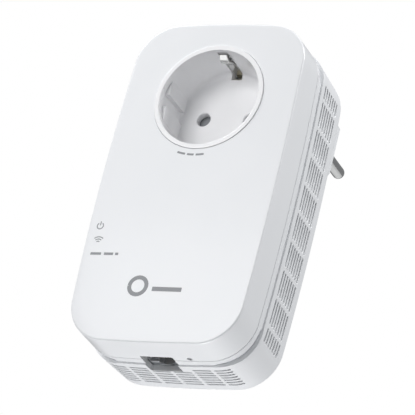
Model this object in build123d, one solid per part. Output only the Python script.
from build123d import *
import os
from math import radians, tan

# Plug-through powerline adapter: a flat two-part casing with an earthed round outlet in front,
# an offset round plug behind, a network port in its lower end, and a power supply, a radio board
# and their small parts inside.
#
# Everything is placed in the casing's own frame: x across, y from front to back, z up, with zero
# at the outlet rim's plane on the middle of the casing. write_part() then shifts it all, so that
# the origin of the finished part is the middle of the plug's end face.

# ---- Casing -------------------------------------------------------------------------------------
FRONT_HALF_WIDTH = 35.7
FRONT_HALF_HEIGHT = 65.8
LEDGE = 0.7                       # how far the rear casing stands out past the front cover
CORNER_RADIUS = 15.0
SIDE_BOW = 1.8                    # the long sides bow out by this over their full length
END_BOW = 1.2
WALL = 2.2
PANEL_Y = 0.1                     # highest point of the front panel
CROWN = 0.5                       # drop of the panel from its middle to each edge
PARTING_Y = 15.0
PARTING_GAP = 0.3
LEDGE_Y = 18.5
BACK_Y = 42.0
REAR_DRAFT = 3.4                  # degrees, narrowing towards the back
FRONT_EDGE_ROUND = 0.7
BACK_EDGE_ROUND = 2.6
FIT_GAP = 0.15                    # gap between pieces that are assembled into each other

# ---- Outlet -------------------------------------------------------------------------------------
OUTLET_Z = 34.4
RIM_RADIUS = 21.65
MOUTH_RADIUS = 19.85
WELL_DEPTH = 17.5
WELL_FLOOR = 3.0
PIN_SPACING = 19.0
PIN_HOLE_RADIUS = 2.75
PAD_HALF_GAP = 18.0               # half the distance between the flats of the side pads
PAD_DEPTH = 3.0
PAD_GROOVE = 5.0
RETAINING_FLANGE = 23.6
EARTH_SLOT = 4.4
SHUTTER_TRAVEL = 6.2
SHUTTER_Y = (WELL_DEPTH + WELL_FLOOR + 0.3, WELL_DEPTH + WELL_FLOOR + 2.3)
SPRING_TOP = 14.0                 # upper stop of the shutter spring, above the outlet's centre
CARRIER_Y = (WELL_DEPTH + WELL_FLOOR + 0.1, 33.0)
CARRIER_PLATE_Y = 23.2
STRAP_Y = (33.2, 34.0)
STRAP_HALF_WIDTH = 1.7

# ---- Plug ---------------------------------------------------------------------------------------
PLUG_X = 11.2
PLUG_Z = 44.0
PLUG_LENGTH = 17.0
PLUG_RADIUS = 17.6
PLUG_WALL = 2.2
PLUG_FLAT = 14.6                  # half the distance between the flats on the boss's sides
PLUG_FLAT_WALL = 1.8
PLUG_FACE_Y = BACK_Y + PLUG_LENGTH
INSERT_THICKNESS = 4.0
PIN_RADIUS = 2.4
PIN_LENGTH = 19.0
PIN_SHANK_RADIUS = 2.1
PIN_TAIL_RADIUS = 1.2
EARTH_HOLE_RADIUS = 2.6
EARTH_HOLE_DROP = 10.0            # the earth pin hole lies this far below the pins
BAR_Y = (36.0, 36.8)
BAR_WIDTH = 4.5

# ---- Vents --------------------------------------------------------------------------------------
SLOT_WIDTH = 1.0
SLOT_PITCH_Y = 2.2
SLOT_ROWS = 7
FIRST_SLOT_Y = 22.2
SIDE_LONG, SIDE_SHORT, SIDE_GAP, SIDE_LONG_COUNT = 10.2, 5.4, 1.4, 8
SIDE_CENTRE_Z = -1.0
END_LONG, END_SHORT, END_GAP, END_LONG_COUNT = 7.4, 6.4, 1.2, 4

# ---- Ports, buttons and screws ------------------------------------------------------------------
PORT_X = (-8.0, 5.2)
PORT_Y = (12.4, 23.4)
RESET_X, RESET_Y, RESET_RADIUS = 11.7, 13.6, 1.0
BUTTON_Y = 8.5
BUTTON_ZS = {"pair": 2.5, "radio": -8.0}
BUTTON_LENGTH, BUTTON_WIDTH, BUTTON_PROUD = 8.0, 4.4, 0.4
CASE_SCREWS = [(-25.5, 55.5), (27.0, 24.0), (-25.5, -55.5), (25.5, -55.5)]
WELL_RADIUS = 2.75
BOARD_POSTS = [(-26, 4), (26, 4), (-27, -46), (27, -46)]
POWER_POSTS = [(-27, 3), (27, 3), (-28, -44), (28, -44)]

# ---- Boards -------------------------------------------------------------------------------------
MAIN_BOARD_Y = (25.0, 26.6)
POWER_BOARD_Y = (36.8, 38.4)
SHEET_Y = (28.0, 28.3)
BOARD_HALF_WIDTH = 31.4
BOARD_TOP, BOARD_BOTTOM = 8.0, -60.5
BOARD_CORNER = 12.0
BIG = 200.0


def block(xs, ys, zs):
    """A block between two planes in each direction."""
    (x0, x1), (y0, y1), (z0, z1) = xs, ys, zs
    return Pos((x0 + x1) / 2, (y0 + y1) / 2, (z0 + z1) / 2) * Box(x1 - x0, y1 - y0, z1 - z0)


def rod(x, z, radius, y0, y1):
    """A round bar that runs from front to back."""
    return Pos(x, (y0 + y1) / 2, z) * Rot(90, 0, 0) * Cylinder(radius, y1 - y0)


def bar(start, end, radius):
    """A round bar between two points."""
    direction = Vector(*end) - Vector(*start)
    return Solid.make_cylinder(radius, direction.length, Plane(Vector(*start), z_dir=direction))


def facing_back(y):
    """The upright plane at depth y, seen from behind, so that extrusions run to the back."""
    return Plane((0, y, 0), x_dir=(-1, 0, 0), z_dir=(0, 1, 0))


def outline(half_width, half_height, corner):
    """A rounded rectangle whose four sides bow outwards a little."""
    x, z = half_width - SIDE_BOW, half_height - END_BOW
    corners = [(x, z), (-x, z), (-x, -z), (x, -z)]
    middles = [(0, half_height), (-half_width, 0), (0, -half_height), (half_width, 0)]
    arcs = [ThreePointArc(a, m, b) for a, m, b in zip(corners, middles, corners[1:] + corners[:1])]
    face = make_face(arcs)
    return fillet(face.vertices(), corner)


def shell_block(inset, y0, y1, rear=False):
    """The casing's outer form between two depths, or its inner one when inset by the wall."""
    faces = []
    for y in (y0, y1):
        grow = LEDGE - (y - LEDGE_Y) * tan(radians(REAR_DRAFT)) if rear else 0
        face = outline(*(size + grow - inset for size in (FRONT_HALF_WIDTH, FRONT_HALF_HEIGHT, CORNER_RADIUS)))
        faces.append(facing_back(y) * face)
    return loft(faces, ruled=True) if rear else extrude(faces[0], y1 - y0)


def strip(points, half_width, y0, y1):
    """A flat metal bar through the listed (x, z) points, with round ends and joints."""
    body = rod(*points[0], half_width, y0, y1)
    for (xa, za), (xb, zb) in zip(points, points[1:]):
        run = Vector(xb - xa, 0, zb - za)
        middle = Plane(((xa + xb) / 2, (y0 + y1) / 2, (za + zb) / 2), x_dir=run, z_dir=(0, 1, 0))
        body += middle * Box(run.length, 2 * half_width, y1 - y0)
        body += rod(xb, zb, half_width, y0, y1)
    return body


def both(value):
    """The value to the left and to the right."""
    return (-value, value)


# ---- Casing -------------------------------------------------------------------------------------
def crown():
    """A thick slab whose front face falls away by CROWN at each edge of the panel."""
    across = FRONT_HALF_WIDTH**2 / (2 * CROWN)
    along = FRONT_HALF_HEIGHT**2 / (2 * CROWN)
    reach = 45.0
    drop = reach**2 / (2 * across)
    depth = PARTING_Y + 8
    front = ThreePointArc((-reach, PANEL_Y + drop), (0, PANEL_Y), (reach, PANEL_Y + drop))
    rest = Polyline((reach, PANEL_Y + drop), (reach, depth), (-reach, depth), (-reach, PANEL_Y + drop))
    profile = make_face([front, *rest.edges()])
    axis = Axis((0, PANEL_Y + along, 0), (1, 0, 0))
    half_angle = 2.4
    return revolve(profile.rotate(axis, -half_angle), axis, 2 * half_angle)


def front_cover():
    cover = shell_block(0, PANEL_Y - 1, PARTING_Y) & crown()
    rim = [edge for edge in cover.edges() if edge.center().Y < PANEL_Y + 2 * CROWN + 0.5]
    cover = fillet(rim, FRONT_EDGE_ROUND)
    inner_y = PANEL_Y + WALL + 0.2
    cover -= shell_block(WALL, inner_y, PARTING_Y + 1)
    for x, z in CASE_SCREWS:
        cover += rod(x, z, 3.4, inner_y - 0.5, 23.9)
        cover -= rod(x, z, 1.32, 11.0, 23.9)
    for x, z in BOARD_POSTS:
        cover += rod(x, z, 2.6, inner_y - 0.5, MAIN_BOARD_Y[0])
        cover -= rod(x, z, 0.92, 17.0, MAIN_BOARD_Y[0])
    cover -= rod(0, OUTLET_Z, RIM_RADIUS + FIT_GAP, -1, 10)
    cover -= block(PORT_X, (PORT_Y[0], BIG), (-BIG, -50))
    cover -= Pos(RESET_X, RESET_Y, -FRONT_HALF_HEIGHT) * Cylinder(RESET_RADIUS, 4 * WALL)
    for z in BUTTON_ZS.values():
        cover -= button_shape(z, FIT_GAP, -FRONT_HALF_WIDTH - 2, -FRONT_HALF_WIDTH + WALL + 1)
    return cover


def vent_rows(long, short, gap, count, centre):
    """The start and end of every slot in one line of vents: long ones with a short one each end."""
    pitch = long + gap
    middles = [centre + (i - (count - 1) / 2) * pitch for i in range(count)]
    rows = [(m - long / 2, m + long / 2) for m in middles]
    low, high = rows[0][0] - gap, rows[-1][1] + gap
    return [(low - short, low), *rows, (high, high + short)]


def vents():
    """Every slot of the four vent fields, as one list of cutting blocks."""
    cuts = []
    wall_x = (FRONT_HALF_WIDTH - 4, FRONT_HALF_WIDTH + 2)
    wall_z = (FRONT_HALF_HEIGHT - 4, FRONT_HALF_HEIGHT + 2)
    for row in range(SLOT_ROWS):
        y = FIRST_SLOT_Y + row * SLOT_PITCH_Y
        ys = (y - SLOT_WIDTH / 2, y + SLOT_WIDTH / 2)
        for zs in vent_rows(SIDE_LONG, SIDE_SHORT, SIDE_GAP, SIDE_LONG_COUNT, SIDE_CENTRE_Z):
            cuts.append(block(wall_x, ys, zs))
            cuts.append(block((-wall_x[1], -wall_x[0]), ys, zs))
        for xs in vent_rows(END_LONG, END_SHORT, END_GAP, END_LONG_COUNT, 0):
            cuts.append(block(xs, ys, wall_z))
            beside_port = xs[1] < PORT_X[0] or xs[0] > PORT_X[1]
            if beside_port or ys[0] > PORT_Y[1] + 0.3:
                cuts.append(block(xs, ys, (-wall_z[1], -wall_z[0])))
    return cuts


def rear_casing():
    band = shell_block(0, PARTING_Y + PARTING_GAP, LEDGE_Y)
    body = shell_block(0, LEDGE_Y, BACK_Y, rear=True)
    body = fillet(body.edges().group_by(Axis.Y)[-1], BACK_EDGE_ROUND)
    casing = band + body
    casing -= shell_block(WALL, PARTING_Y, LEDGE_Y)
    casing -= shell_block(WALL, LEDGE_Y, BACK_Y - WALL - 0.3, rear=True)
    for x, z in CASE_SCREWS:
        casing += rod(x, z, 4.2, 24, BACK_Y - 1)
        casing -= rod(x, z, WELL_RADIUS, 26, BACK_Y)
        casing -= rod(x, z, 1.6, 24, 26)
    for x, z in POWER_POSTS:
        casing += rod(x, z, 2.4, POWER_BOARD_Y[1], BACK_Y - 1)
        casing -= rod(x, z, 1.02, POWER_BOARD_Y[1], 41.0)
    casing -= rod(PLUG_X, PLUG_Z, PLUG_RADIUS + 0.1, BACK_Y - WALL - 1, BACK_Y)
    casing -= vents()
    casing -= block(PORT_X, (0, PORT_Y[1]), (-BIG, -50))
    casing -= block((-22.2, 22.2), (BACK_Y - 0.25, BACK_Y), (-48.2, 8.2))
    return casing


def rating_plate():
    plate = block((-22, 22), (BACK_Y - 0.25, BACK_Y - 0.05), (-48, 8))
    return fillet(plate.edges().filter_by(Axis.Y), 1.5)


def case_screws():
    """Four pan-head screws, driven from the bottoms of the deep wells in the back."""
    screws = []
    for x, z in CASE_SCREWS:
        head = chamfer(rod(x, z, 2.5, 26, 28.2).edges().group_by(Axis.Y)[-1], 0.6)
        cross = block((x - 1.4, x + 1.4), (27.2, 29), (z - 0.3, z + 0.3))
        cross += block((x - 0.3, x + 0.3), (27.2, 29), (z - 1.4, z + 1.4))
        screws.append(head + rod(x, z, 1.3, 13, 26.1) - cross)
    return screws


# ---- Outlet -------------------------------------------------------------------------------------
def outlet_insert():
    floor_back = WELL_DEPTH + WELL_FLOOR
    body = fillet(rod(0, OUTLET_Z, RIM_RADIUS, 0, floor_back).edges().group_by(Axis.Y)[0], 0.5)
    body += rod(0, OUTLET_Z, RETAINING_FLANGE, PANEL_Y + WALL + 0.4, PANEL_Y + WALL + 2.2)
    well = rod(0, OUTLET_Z, MOUTH_RADIUS, 0, WELL_DEPTH)
    gap = block(both(PAD_HALF_GAP), (0, WELL_DEPTH), (OUTLET_Z - BIG / 4, OUTLET_Z + BIG / 4))
    mouth = block(both(MOUTH_RADIUS + 1), (0, PAD_DEPTH), (OUTLET_Z - BIG / 4, OUTLET_Z + BIG / 4))
    grooves = block(both(MOUTH_RADIUS + 1), (0, WELL_DEPTH), (OUTLET_Z - PAD_GROOVE / 2, OUTLET_Z + PAD_GROOVE / 2))
    body -= well & (gap + mouth + grooves)
    for x in both(PIN_SPACING / 2):
        body -= rod(x, OUTLET_Z, PIN_HOLE_RADIUS, WELL_DEPTH, floor_back)
    for side in both(1):
        near, far = OUTLET_Z + side * 17.0, OUTLET_Z + side * 23.0
        body -= block(both(EARTH_SLOT / 2), (5.0, floor_back), sorted((near, far)))
        far = OUTLET_Z + side * 20.9
        body -= block(both(EARTH_SLOT / 2), (1.8, 5.1), sorted((near, far)))
    for x, z in outlet_screw_places():
        body -= rod(x, z, 0.97, WELL_DEPTH + 0.8, floor_back)
    return body


def outlet_screw_places():
    return [(x, OUTLET_Z + z) for x in both(8.0) for z in (-14.5, 16.2)]


def outlet_earth_strap():
    """One springy strip: a bridge behind the carrier, and a leg into each side of the well."""
    thickness = 0.8
    strap = block(both(STRAP_HALF_WIDTH), STRAP_Y, (OUTLET_Z - 20.8, OUTLET_Z + 20.8))
    strap += block((0, PLUG_X + STRAP_HALF_WIDTH), STRAP_Y, (OUTLET_Z + 13.6, OUTLET_Z + 17.6))
    for side in both(1):
        out = [(STRAP_Y[1], 20.8), (11.0, 20.8), (5.2, 18.1), (2.6, 20.5)]
        back = [(y, z - thickness) for y, z in reversed(out)]
        points = [(0, y, OUTLET_Z + side * z) for y, z in [*out, *back]]
        profile = make_face(Polyline(*points, close=True))
        strap += extrude(profile, STRAP_HALF_WIDTH, dir=(1, 0, 0), both=True)
    return strap


def safety_shutter():
    """A sliding plate that covers both pin holes, with a ramped window below each one."""
    y0, y1 = SHUTTER_Y
    plate = block(both(14.0), (y0, y1), (OUTLET_Z - 10.0, OUTLET_Z + 3.8))
    for x in both(PIN_SPACING / 2):
        plate -= rod(x, OUTLET_Z - SHUTTER_TRAVEL, 2.9, y0, y1)
        ramp = Plane((x, y0, OUTLET_Z - 3.0), x_dir=(1, 0, 0), z_dir=(0, -1, -1)) * Box(3.4, 3.0, 1.4)
        plate -= ramp
    return plate


def shutter_spring():
    mean_radius, wire_radius, turns = 0.8, 0.16, 9
    low, high = OUTLET_Z + 3.8 + wire_radius, OUTLET_Z + SPRING_TOP - wire_radius
    y = sum(SHUTTER_Y) / 2
    path = Helix((high - low) / turns, high - low, mean_radius, center=(0, y, low))
    start = Plane(path @ 0, z_dir=path % 0)
    return sweep(start * Circle(wire_radius), path, is_frenet=True)


def contact_carrier():
    """The moulded block behind the well: it guides the shutter and holds both contact sleeves."""
    carrier = block(both(16.0), (CARRIER_Y[0], CARRIER_PLATE_Y), (OUTLET_Z - 18, OUTLET_Z + 19))
    carrier -= block(both(14.2), (0, SHUTTER_Y[1] + 0.2), (OUTLET_Z - 11, OUTLET_Z + SPRING_TOP))
    carrier += block(both(15.0), (SHUTTER_Y[1] + 0.2, CARRIER_Y[1]), (OUTLET_Z - 10, OUTLET_Z + 9))
    for x in both(PIN_SPACING / 2):
        carrier -= rod(x, OUTLET_Z, 3.3, CARRIER_Y[0], CARRIER_Y[1] - 1.2)
        carrier -= rod(x, OUTLET_Z, 1.3, 30, CARRIER_Y[1])
    for x, z in outlet_screw_places():
        carrier -= rod(x, z, 1.2, CARRIER_Y[0], CARRIER_PLATE_Y)
    return carrier


def outlet_screws():
    screws = []
    for x, z in outlet_screw_places():
        head = rod(x, z, 1.9, CARRIER_PLATE_Y, CARRIER_PLATE_Y + 1.4)
        screws.append(head + rod(x, z, 0.95, 18.6, CARRIER_PLATE_Y))
    return screws


def contact_sleeve(side):
    """A split brass sleeve that grips a plug pin, with a rivet tail to its bus bar."""
    x = side * PIN_SPACING / 2
    sleeve = rod(x, OUTLET_Z, 3.1, 23.6, CARRIER_Y[1] - 1.3) - rod(x, OUTLET_Z, 2.5, 23.6, 30.6)
    sleeve -= block((x - 4, x + 4), (23.6, 29.5), (OUTLET_Z - 0.35, OUTLET_Z + 0.35))
    tail = rod(x, OUTLET_Z, 1.2, 31, BAR_Y[1])
    return sleeve + tail + rod(x, OUTLET_Z, 1.9, BAR_Y[1], BAR_Y[1] + 0.6)


# ---- Plug ---------------------------------------------------------------------------------------
def plug_housing():
    """The hollow round boss, held in the back wall by a flange, grooved for the earth contacts."""
    back = BACK_Y - WALL - 0.45
    housing = fillet(rod(PLUG_X, PLUG_Z, PLUG_RADIUS, back, PLUG_FACE_Y).edges().group_by(Axis.Y)[-1], 0.5)
    housing += rod(PLUG_X, PLUG_Z, PLUG_RADIUS + 0.9, back - 1.4, back)
    shoulder, bore = BACK_Y + 1.2, PLUG_RADIUS - PLUG_WALL
    housing -= rod(PLUG_X, PLUG_Z, bore, back - 2, shoulder)
    housing -= rod(PLUG_X, PLUG_Z, bore, shoulder, PLUG_FACE_Y) & beside_plug(PLUG_FLAT - PLUG_FLAT_WALL)
    for side in both(1):
        xs = sorted((PLUG_X + side * PLUG_FLAT, PLUG_X + side * (PLUG_FLAT + 10)))
        housing -= block(xs, (BACK_Y + 3.0, PLUG_FACE_Y), (0, BIG / 2))
        z = PLUG_Z + side * (PLUG_RADIUS - 0.5)
        housing -= block((PLUG_X - 2.6, PLUG_X + 2.6), (BACK_Y + 2.2, PLUG_FACE_Y), (z - 0.5, z + 1))
        z = PLUG_Z + side * (PLUG_RADIUS - 1.5)
        housing -= block((PLUG_X - 2.6, PLUG_X + 2.6), (BACK_Y + 2.2, BACK_Y + 3.6), (z - 1.5, z + 1.5))
    return housing


def beside_plug(half_width):
    """A tall slab, centred on the plug, that limits a round shape to its flats."""
    return block((PLUG_X - half_width, PLUG_X + half_width), (0, BIG), (-BIG, BIG))


def plug_insert():
    """The disc that closes the hollow boss and holds both pins."""
    radius = PLUG_RADIUS - PLUG_WALL - 0.05
    inner_face = PLUG_FACE_Y - INSERT_THICKNESS
    disc = rod(PLUG_X, PLUG_Z, radius, inner_face, PLUG_FACE_Y)
    skirt = rod(PLUG_X, PLUG_Z, radius, BACK_Y + 6, inner_face)
    disc += skirt - rod(PLUG_X, PLUG_Z, radius - 1.4, BACK_Y + 6, inner_face)
    disc &= beside_plug(PLUG_FLAT - PLUG_FLAT_WALL - 0.05)
    for x in both(PIN_SPACING / 2):
        disc -= rod(PLUG_X + x, PLUG_Z, PIN_SHANK_RADIUS + 0.02, inner_face, PLUG_FACE_Y)
        disc -= rod(PLUG_X + x, PLUG_Z, PIN_RADIUS + 0.15, PLUG_FACE_Y - 1, PLUG_FACE_Y)
    disc -= rod(PLUG_X, PLUG_Z - EARTH_HOLE_DROP, EARTH_HOLE_RADIUS, inner_face, PLUG_FACE_Y)
    return disc


def plug_pin(side):
    """A solid pin with a domed tip; its shank, collar and tail run through to a bus bar."""
    x = PLUG_X + side * PIN_SPACING / 2
    straight_end = PLUG_FACE_Y + PIN_LENGTH - PIN_RADIUS
    inner_face = PLUG_FACE_Y - INSERT_THICKNESS
    pin = rod(x, PLUG_Z, PIN_RADIUS, PLUG_FACE_Y, straight_end)
    pin += Pos(x, straight_end, PLUG_Z) * Sphere(PIN_RADIUS)
    pin += rod(x, PLUG_Z, PIN_SHANK_RADIUS, inner_face, PLUG_FACE_Y)
    pin += rod(x, PLUG_Z, 3.0, inner_face - 1.5, inner_face)
    pin += rod(x, PLUG_Z, PIN_TAIL_RADIUS, BAR_Y[0], inner_face - 1.5)
    return pin + rod(x, PLUG_Z, 1.9, BAR_Y[0] - 0.6, BAR_Y[0])


def bus_bar(side):
    """A brass bar from a pin to its contact sleeve, with a leg down to the power board."""
    x = side * PIN_SPACING / 2
    points = [(PLUG_X + x, PLUG_Z), (x, OUTLET_Z), (x, 3.5)]
    metal = strip(points, BAR_WIDTH / 2, *BAR_Y)
    metal -= rod(*points[0], PIN_TAIL_RADIUS + 0.02, *BAR_Y)
    return metal - rod(*points[1], 1.22, *BAR_Y)


def plug_earth_clip():
    """A U-shaped clip: a contact along the top and bottom of the boss, and a bridge inside it."""
    half, thickness, bridge_y = 2.2, 0.8, BACK_Y + 2.5
    clip = block((PLUG_X - half, PLUG_X + half), (bridge_y, bridge_y + thickness),
                 (PLUG_Z - PLUG_RADIUS + 0.2, PLUG_Z + PLUG_RADIUS - 0.2))
    for side in both(1):
        outer = PLUG_Z + side * (PLUG_RADIUS - 0.1)
        zs = sorted((outer, outer - side * thickness))
        leg = block((PLUG_X - half, PLUG_X + half), (bridge_y, PLUG_FACE_Y - 1.5), zs)
        clip += leg
    tail_z = OUTLET_Z + 15.6
    return clip + block((PLUG_X - 1.5, PLUG_X + 1.5), (STRAP_Y[1], bridge_y + 0.1), (tail_z - 0.4, tail_z + 0.4))


def earth_pin_sleeve():
    z = PLUG_Z - EARTH_HOLE_DROP
    ys = (BACK_Y + 3.4, PLUG_FACE_Y - INSERT_THICKNESS)
    return rod(PLUG_X, z, EARTH_HOLE_RADIUS + 0.8, *ys) - rod(PLUG_X, z, EARTH_HOLE_RADIUS + 0.1, *ys)


# ---- Boards and their parts ---------------------------------------------------------------------
def board(ys, posts, hole_radius):
    plate = block(both(BOARD_HALF_WIDTH), ys, (BOARD_BOTTOM, BOARD_TOP))
    plate = fillet(plate.edges().filter_by(Axis.Y).group_by(Axis.Z)[0], BOARD_CORNER)
    for x, z in CASE_SCREWS:
        plate -= rod(x, z, 4.6, *ys)
    for x, z in posts:
        plate -= rod(x, z, hole_radius, *ys)
    return plate


def board_screws():
    screws = []
    for x, z in BOARD_POSTS:
        back = MAIN_BOARD_Y[1]
        screws.append(rod(x, z, 1.8, back, back + 1.2) + rod(x, z, 0.9, 18.5, back))
    for x, z in POWER_POSTS:
        front = POWER_BOARD_Y[0]
        screws.append(rod(x, z, 1.8, front - 1.3, front) + rod(x, z, 1.0, front, 40.8))
    return screws


def insulating_sheet():
    return block(both(30.0), SHEET_Y, (-50, 6))


def board_header():
    """The plug-in link between the two boards: a pin strip in a moulded bar."""
    body = block(both(9.0), (MAIN_BOARD_Y[1], POWER_BOARD_Y[0]), (-58.5, -55.5))
    for i in range(6):
        x = -7.5 + 3.0 * i
        body -= block((x - 1.0, x + 1.0), (MAIN_BOARD_Y[1] + 2, POWER_BOARD_Y[0] - 2), (-60, -58.0))
    return body


def fuse():
    x, y, radius = 20.0, POWER_BOARD_Y[0] - 2.8, 2.6
    tube = bar((x, y, -9), (x, y, -1), radius - 0.2)
    return tube + bar((x, y, -11), (x, y, -8.5), radius) + bar((x, y, -1.5), (x, y, 1), radius)


def varistor():
    disc = rod(-20, -4, 4.5, 32.0, 35.6)
    leads = rod(-22.5, -4, 0.4, 35.5, POWER_BOARD_Y[0]) + rod(-17.5, -4, 0.4, 35.5, POWER_BOARD_Y[0])
    return fillet(disc.edges(), 1.0) + leads


def input_choke():
    ring = Pos(0, POWER_BOARD_Y[0] - 3.0, -10) * Rot(90, 0, 0) * Torus(5.0, 2.4)
    feet = rod(-5, -10, 0.5, 33.8, POWER_BOARD_Y[0]) + rod(5, -10, 0.5, 33.8, POWER_BOARD_Y[0])
    return ring + feet


def x_capacitor():
    case = block((-26, -12), (29.4, POWER_BOARD_Y[0]), (-27, -17))
    return fillet(case.edges().filter_by(Axis.Y), 0.8)


def bridge_rectifier():
    return chamfer(block((-8, -1), (34.2, POWER_BOARD_Y[0]), (-27, -20)).edges().group_by(Axis.Y)[0], 0.5)


def bulk_capacitors():
    cans = []
    for z in (-21, -30):
        can = bar((7, 32.6, z), (22, 32.6, z), 4.1)
        ring = bar((20.4, 32.6, z), (20.9, 32.6, z), 4.2) - bar((20.3, 32.6, z), (21.0, 32.6, z), 3.9)
        can -= ring
        cans.append(can + bar((22, 32.6, z), (22.4, 32.6, z), 3.2))
    return cans


def transformer_core():
    """Two facing E-shaped ferrite halves as one frame, with the middle leg through the bobbin."""
    frame = block((-18, 4), (28.8, POWER_BOARD_Y[0]), (-52, -34))
    frame -= block((-15, 1), (28.8, POWER_BOARD_Y[0]), (-49, -37))
    return frame + block((-9.5, -4.5), (30.5, 35.0), (-49.1, -36.9))


def transformer_winding():
    coil = block((-14.5, 0.5), (29.0, 36.6), (-48.4, -37.6))
    coil = fillet(coil.edges().filter_by(Axis.Z), 2.0)
    return coil - block((-9.7, -4.3), (30.3, 35.2), (-50, -36))


def output_capacitors():
    cans = []
    for x in (11, 18.5):
        can = rod(x, -42, 3.1, 28.9, POWER_BOARD_Y[0])
        cans.append(fillet(can.edges().group_by(Axis.Y)[0], 0.6))
    return cans


def output_inductor():
    drum = rod(12, -52, 3.6, 31.6, POWER_BOARD_Y[0])
    return drum - (rod(12, -52, 3.7, 32.8, 35.6) - rod(12, -52, 2.9, 32.7, 35.7))


def power_chip():
    return chamfer(block((-24, -18), (35.0, POWER_BOARD_Y[0]), (-38, -33)).edges().group_by(Axis.Y)[0], 0.4)


def main_chip():
    return block((-13, 1), (23.6, MAIN_BOARD_Y[0]), (-29, -15))


def heatsink():
    """An extruded aluminium block with fins that run up and down."""
    sink = block((-17, 5), (15.5, 23.6), (-33, -11))
    for i in range(7):
        x = -15.35 + 3.0 * i
        sink -= block((x - 0.95 + 0.3, x + 0.95 + 0.3), (15, 21.8), (-34, -10))
    return sink


def memory_chip():
    return chamfer(block((-27, -18), (23.8, MAIN_BOARD_Y[0]), (-40, -30)).edges().group_by(Axis.Y)[0], 0.3)


def radio_shield():
    """A drawn tin lid, soldered over the radio chips."""
    lid = block((11, 29), (21.8, MAIN_BOARD_Y[0]), (-34, -11))
    lid = fillet(lid.edges().filter_by(Axis.Y), 1.0)
    return lid - block((11.3, 28.7), (22.1, MAIN_BOARD_Y[0]), (-33.7, -11.3))


def radio_chip():
    return block((16, 24), (24.0, MAIN_BOARD_Y[0]), (-27, -18))


def coupling_transformer():
    body = block((16, 24), (16.5, MAIN_BOARD_Y[0]), (-46, -38))
    return chamfer(body.edges().filter_by(Axis.Y), 1.0)


def network_transformer():
    return block((-9, 6.2), (18.8, MAIN_BOARD_Y[0]), (-43, -36))


def ethernet_jack():
    """The moulded jack body; its mouth has the plug's width, with steps for the latch."""
    middle = sum(PORT_X) / 2
    body = block((middle - 7.6, middle + 7.6), (11.7, 24.7), (-63.4, -46.5))
    body -= block((middle - 5.95, middle + 5.95), (13.0, 20.7), (-64, -49.6))
    body -= block((middle - 6.4, middle + 6.4), (12.7, 21.1), (-64, -62.4))
    body -= block((middle - 3.2, middle + 3.2), (20.6, 22.4), (-64, -51.5))
    return body - block((middle - 1.8, middle + 1.8), (22.3, 23.6), (-64, -53.0))


def jack_shield():
    """A thin steel sleeve round the jack body, open at the mouth."""
    middle = sum(PORT_X) / 2
    shield = block((middle - 7.9, middle + 7.9), (11.4, 25.0), (-63.2, -46.0))
    return shield - block((middle - 7.65, middle + 7.65), (11.65, 24.75), (-64, -46.3))


def jack_contacts():
    middle = sum(PORT_X) / 2
    wires = []
    for i in range(8):
        x = middle + (i - 3.5) * 1.02
        wires.append(bar((x, 13.35, -61.0), (x, 14.4, -50.0), 0.22))
    return wires


def status_leds():
    return [block((x - 0.8, x + 0.8), (24.3, MAIN_BOARD_Y[0]), (z - 0.6, z + 0.6)) for x, z in light_places()]


def light_places():
    return [(-30.2, -19.5), (-30.0, -25.5)]


def light_guide():
    """A clear moulding with a light pipe from each LED to the back of the front panel."""
    guide = block((-30.6, -29.6), (11.0, 13.0), (-25.5, -19.5))
    for x, z in light_places():
        guide += rod(x, z, 1.3, PANEL_Y + WALL + 0.3, 24.1)
    return guide


# ---- Buttons ------------------------------------------------------------------------------------
def button_shape(z, margin, x0, x1):
    """A long round-ended button's outline, grown by a margin, between two planes across."""
    face = SlotOverall(BUTTON_LENGTH + 2 * margin, BUTTON_WIDTH + 2 * margin, rotation=90)
    plane = Plane((x0, BUTTON_Y, z), x_dir=(0, 1, 0), z_dir=(1, 0, 0))
    return extrude(plane * face, x1 - x0)


def side_button(z):
    """The cap in the cover's left wall, with a flange that keeps it in and a stem to its switch."""
    outer = -FRONT_HALF_WIDTH - BUTTON_PROUD
    inner = -FRONT_HALF_WIDTH + WALL + 0.3
    cap = fillet(button_shape(z, 0, outer, inner).edges().group_by(Axis.X)[0], 0.4)
    cap += button_shape(z, 0.9, inner, inner + 0.6)
    return cap


def button_switches():
    """Two small push switches on the button board, each with a hole for its plunger."""
    x = -FRONT_HALF_WIDTH + WALL + 1.6
    switches = []
    for z in BUTTON_ZS.values():
        case = block((x, x + 1.6), (BUTTON_Y - 2.2, BUTTON_Y + 2.2), (z - 2.2, z + 2.2))
        switches.append(case - bar((x - 1, BUTTON_Y, z), (x + 1.2, BUTTON_Y, z), 1.1))
    return switches


def button_plunger(z):
    inner = -FRONT_HALF_WIDTH + WALL + 0.9
    return bar((inner, BUTTON_Y, z), (inner + 1.2, BUTTON_Y, z), 1.0)


def button_board():
    x = -FRONT_HALF_WIDTH + WALL + 3.2
    return block((x, x + 1.0), (4.0, MAIN_BOARD_Y[0]), (-14, 8))


def reset_switch():
    """A tall push switch on the main board, over the pinhole, with a hole for its plunger."""
    case = block((RESET_X - 3, RESET_X + 3), (RESET_Y - 2.8, MAIN_BOARD_Y[0]), (-59, -54.5))
    return case - bar((RESET_X, RESET_Y, -60), (RESET_X, RESET_Y, -57), 1.15)


def reset_plunger():
    return bar((RESET_X, RESET_Y, -61.0), (RESET_X, RESET_Y, -57.6), 1.05)


# ---- Antennas -----------------------------------------------------------------------------------
def antenna(side):
    """A stamped strip standing inside the casing's side, with a slot in it."""
    xs = sorted((side * 31.2, side * 31.8))
    plate = block(xs, (4.5, 12.5), (22, 48))
    return plate - block((-BIG, BIG), (7.8, 9.0), (32, 49))


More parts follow.
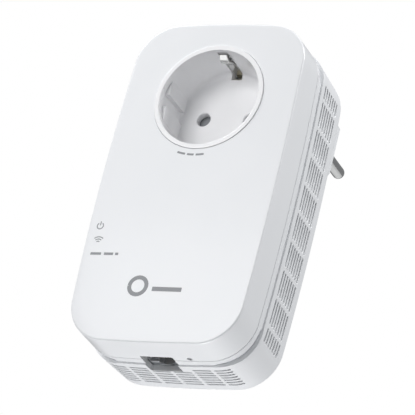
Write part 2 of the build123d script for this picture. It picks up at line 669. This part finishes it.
def antenna_lead(side):
    """A thin coaxial lead from an antenna to the radio shield, on straight runs and arcs."""
    y = 22.6
    routes = {
        -1: [(-31.1, 7, 25), (-27, 7, 24), (-26, 17, 12), (-12, y, 8.5), (10, y, 6.5), (14, y, -2), (14, y, -10.9)],
        1: [(31.1, 7, 33), (24.5, 8, 32), (21, 14, 22), (21, 20, 12), (20, y, 3), (20.5, y, -10.9)],
    }
    points = routes[side]
    runs = [(Vector(*b) - Vector(*a)).length for a, b in zip(points, points[1:])]
    radii = []
    for before, after, a, b, c in zip(runs, runs[1:], points, points[1:], points[2:]):
        turn = (Vector(*b) - Vector(*a)).get_angle(Vector(*c) - Vector(*b))
        radii.append(0.45 * min(before, after) / tan_half(turn))
    path = FilletPolyline(*points, radius=radii)
    start = Plane(path @ 0, z_dir=path % 0)
    return sweep(start * Circle(0.6), path)


def tan_half(degrees):
    """Tangent of half an angle, from a unit vector turned through it."""
    turned = Vector(1, 0, 0).rotate(Axis.Z, degrees / 2)
    return turned.Y / turned.X


# ---- Writing ------------------------------------------------------------------------------------
def pieces():
    yield "front_cover", front_cover()
    yield "rear_casing", rear_casing()
    yield "rating_plate", rating_plate()
    yield "case_screws", case_screws()
    yield "outlet_insert", outlet_insert()
    yield "outlet_earth_strap", outlet_earth_strap()
    yield "safety_shutter", safety_shutter()
    yield "shutter_spring", shutter_spring()
    yield "contact_carrier", contact_carrier()
    yield "outlet_screws", outlet_screws()
    yield "neutral_contact", contact_sleeve(-1)
    yield "line_contact", contact_sleeve(1)
    yield "plug_housing", plug_housing()
    yield "plug_insert", plug_insert()
    yield "neutral_pin", plug_pin(-1)
    yield "line_pin", plug_pin(1)
    yield "neutral_bus_bar", bus_bar(-1)
    yield "line_bus_bar", bus_bar(1)
    yield "plug_earth_clip", plug_earth_clip()
    yield "earth_pin_sleeve", earth_pin_sleeve()
    yield "main_board", board(MAIN_BOARD_Y, BOARD_POSTS, 1.05)
    yield "power_board", board(POWER_BOARD_Y, POWER_POSTS, 1.15)
    yield "board_screws", board_screws()
    yield "insulating_sheet", insulating_sheet()
    yield "board_header", board_header()
    yield "fuse", fuse()
    yield "varistor", varistor()
    yield "input_choke", input_choke()
    yield "x_capacitor", x_capacitor()
    yield "bridge_rectifier", bridge_rectifier()
    yield "bulk_capacitors", bulk_capacitors()
    yield "transformer_core", transformer_core()
    yield "transformer_winding", transformer_winding()
    yield "output_capacitors", output_capacitors()
    yield "output_inductor", output_inductor()
    yield "power_chip", power_chip()
    yield "main_chip", main_chip()
    yield "heatsink", heatsink()
    yield "memory_chip", memory_chip()
    yield "radio_shield", radio_shield()
    yield "radio_chip", radio_chip()
    yield "coupling_transformer", coupling_transformer()
    yield "network_transformer", network_transformer()
    yield "ethernet_jack", ethernet_jack()
    yield "jack_shield", jack_shield()
    yield "jack_contacts", jack_contacts()
    yield "status_leds", status_leds()
    yield "light_guide", light_guide()
    for name, z in BUTTON_ZS.items():
        yield f"{name}_button", side_button(z)
        yield f"{name}_plunger", button_plunger(z)
    yield "button_switches", button_switches()
    yield "button_board", button_board()
    yield "reset_switch", reset_switch()
    yield "reset_plunger", reset_plunger()
    for name, side in (("left", -1), ("right", 1)):
        yield f"{name}_antenna", antenna(side)
        yield f"{name}_antenna_lead", antenna_lead(side)


def write_part():
    os.makedirs("parts", exist_ok=True)
    to_plug_face = Pos(-PLUG_X, -PLUG_FACE_Y, -PLUG_Z)
    for name, shape in pieces():
        solids = shape if isinstance(shape, list) else shape.solids()
        moved = [solid.moved(to_plug_face) for item in solids for solid in item.solids()]
        node = moved[0] if len(moved) == 1 else Compound(children=moved)
        node.label = name
        export_step(node, f"parts/{name}.step")


write_part()
